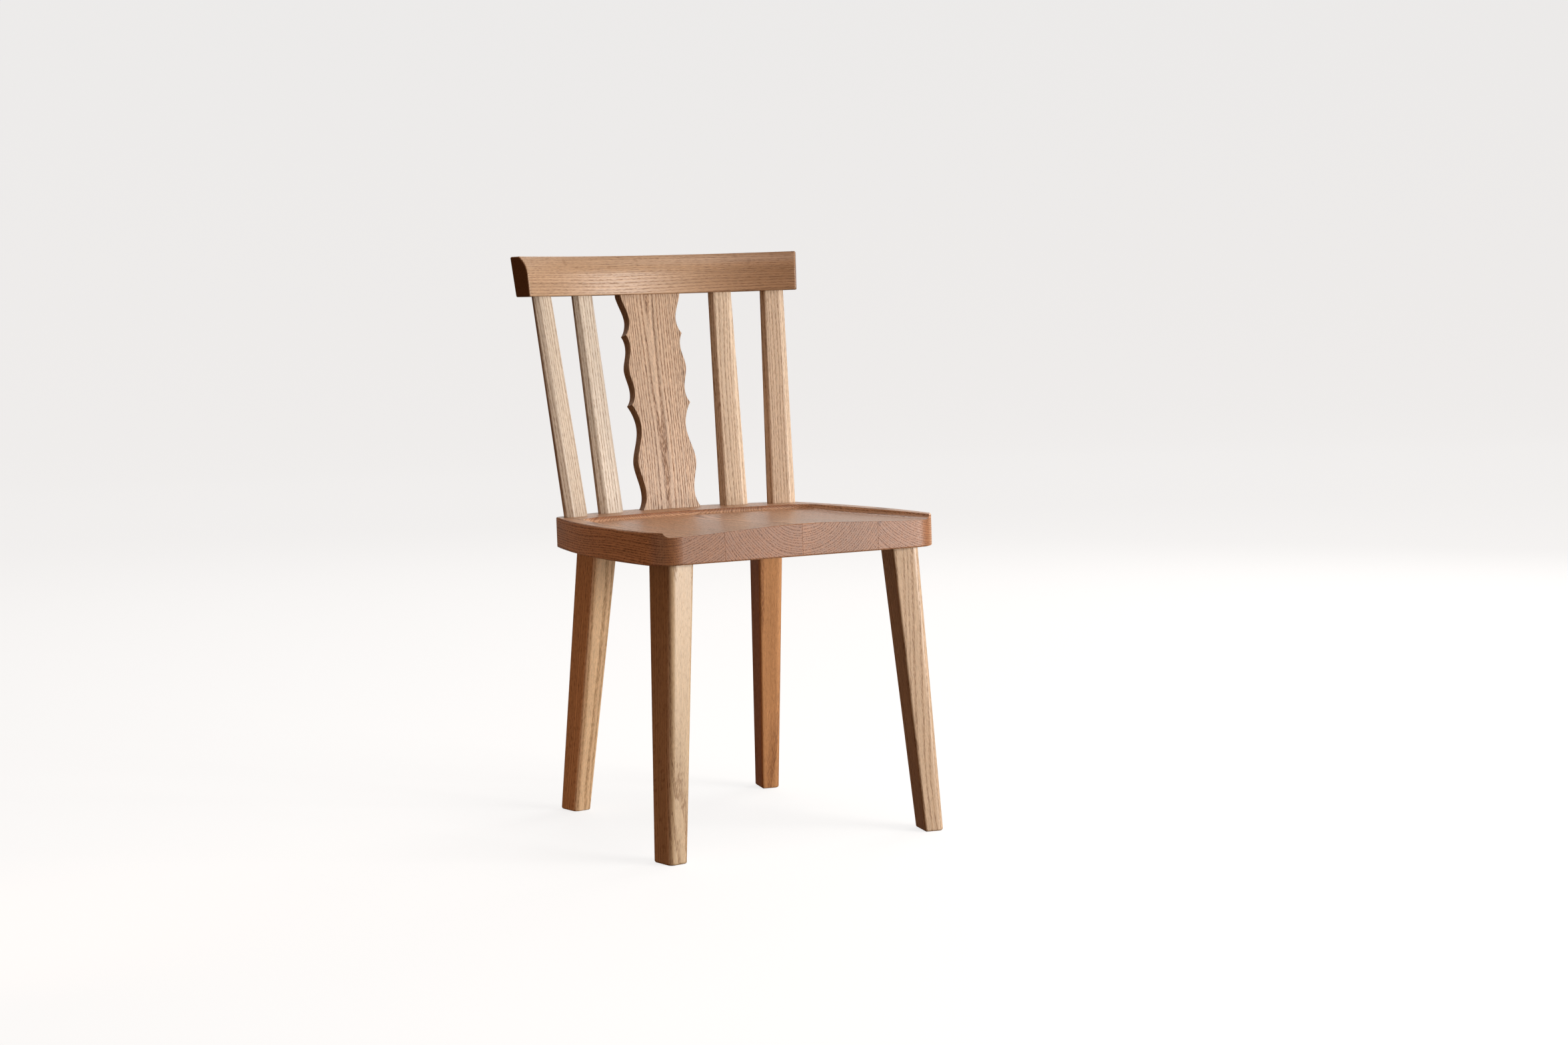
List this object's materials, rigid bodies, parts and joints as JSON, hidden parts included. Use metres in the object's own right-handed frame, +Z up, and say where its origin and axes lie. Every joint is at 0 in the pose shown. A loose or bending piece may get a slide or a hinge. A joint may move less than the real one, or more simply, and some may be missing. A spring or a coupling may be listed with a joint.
{
  "type": "dining chair",
  "caption": "Solid oak dining chair with a dished plank seat, splayed tapered legs, flat back spindles, a scalloped centre splat and a curved crest rail.",
  "frame": {"origin": "bottom centre of the bounding box, on the floor between the feet", "axes": "+Z up, the sitter faces -Y, +X across the chair"},
  "size_m": [0.4752, 0.513, 0.8368],
  "materials": {
    "oak_seat": "satin oiled oak, medium reddish brown, on the seat and the crest rail",
    "oak_frame": "satin oiled oak, lighter tan, on the legs, spindles and splat"
  },
  "bodies": {
    "root": {"seat_board_1": "oak_seat", "seat_board_2": "oak_seat", "seat_board_3": "oak_seat", "seat_board_4": "oak_seat", "front_left_leg": "oak_frame", "front_right_leg": "oak_frame", "rear_left_leg": "oak_frame", "rear_right_leg": "oak_frame", "spindle_1_outer_left": "oak_frame", "spindle_2_inner_left": "oak_frame", "spindle_3_inner_right": "oak_frame", "spindle_4_outer_right": "oak_frame", "back_splat": "oak_frame", "crest_rail": "oak_seat"}
  },
  "joints": []
}
